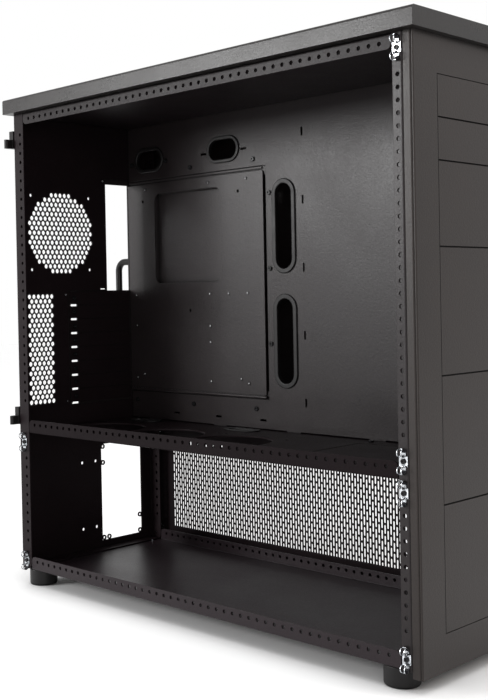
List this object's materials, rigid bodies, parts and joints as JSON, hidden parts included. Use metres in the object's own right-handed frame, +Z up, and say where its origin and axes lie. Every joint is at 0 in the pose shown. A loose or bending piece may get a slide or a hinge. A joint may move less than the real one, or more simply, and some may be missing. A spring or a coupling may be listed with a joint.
{
  "type": "computer case",
  "caption": "Tall tower computer case in dark folded aluminium sheet, open on its left side, with a lower power supply chamber, a slide-out board tray and covered front bays.",
  "frame": {"origin": "centre of the bounding box, on the floor", "axes": "+Z up, -Y out of the front with the bay covers, -X out of the open left side"},
  "size_m": [0.271, 0.705, 0.674],
  "materials": {
    "powder_coat": "fine-texture powder coat on aluminium sheet",
    "dark_steel": "satin black",
    "rubber": "matt",
    "zinc": "bright zinc plated"
  },
  "bodies": {
    "case": {"floor_pan": "powder_coat", "rear_panel": "powder_coat", "ceiling_panel": "powder_coat", "mid_plate": "powder_coat", "mid_plate_cover": "powder_coat", "front_frame": "powder_coat", "front_shell": "powder_coat", "front_plate": "powder_coat", "bay_cover_1": "powder_coat", "bay_cover_2": "powder_coat", "bay_cover_3": "powder_coat", "bay_cover_4": "powder_coat", "bay_cover_5": "powder_coat", "bay_cover_6": "powder_coat", "top_cover": "powder_coat", "board_wall": "powder_coat", "tray_runner_top": "powder_coat", "tray_runner_bottom": "powder_coat", "tray_stop_bar": "powder_coat", "cable_grommet_1": "rubber", "cable_grommet_2": "rubber", "cable_grommet_3": "rubber", "cable_grommet_4": "rubber", "mid_plate_grommets": "rubber", "lower_right_door": "powder_coat", "left_hinge_upper": "dark_steel", "left_hinge_lower": "dark_steel", "right_hinge_upper": "dark_steel", "right_hinge_lower": "dark_steel", "left_spring_clip_1": "zinc", "left_spring_clip_2": "zinc", "left_spring_clip_3": "zinc", "left_spring_clip_4": "zinc", "left_spring_clip_5": "zinc", "left_spring_clip_6": "zinc", "right_spring_clips": "zinc", "clip_screws": "dark_steel", "chassis_screws": "zinc", "foot_1": "rubber", "foot_2": "rubber", "foot_3": "rubber", "foot_4": "rubber", "foot_screws": "zinc"},
    "tray": {"tray_plate": "powder_coat", "tray_rear_plate": "powder_coat", "processor_opening_cover": "powder_coat", "tray_handle": "dark_steel", "threaded_inserts": "zinc", "slot_screws": "zinc", "tray_screws": "zinc", "tray_thumbscrews": "zinc", "slot_cover_1": "powder_coat", "slot_cover_2": "powder_coat", "slot_cover_3": "powder_coat", "slot_cover_4": "powder_coat", "slot_cover_5": "powder_coat", "slot_cover_6": "powder_coat", "slot_cover_7": "powder_coat", "slot_cover_8": "powder_coat"},
    "right_door": {"upper_right_door": "powder_coat"}
  },
  "joints": [
    {"name": "tray_slide", "type": "slide", "parent": "case", "child": "tray", "axis": [0, 1, 0], "range_m": [0, 0.24]},
    {"name": "right_door_hinge", "type": "hinge", "parent": "case", "child": "right_door", "pos_m": [0.1315, 0.3195, 0.422], "axis": [0, 0, 1], "range_deg": [0, 100]}
  ]
}
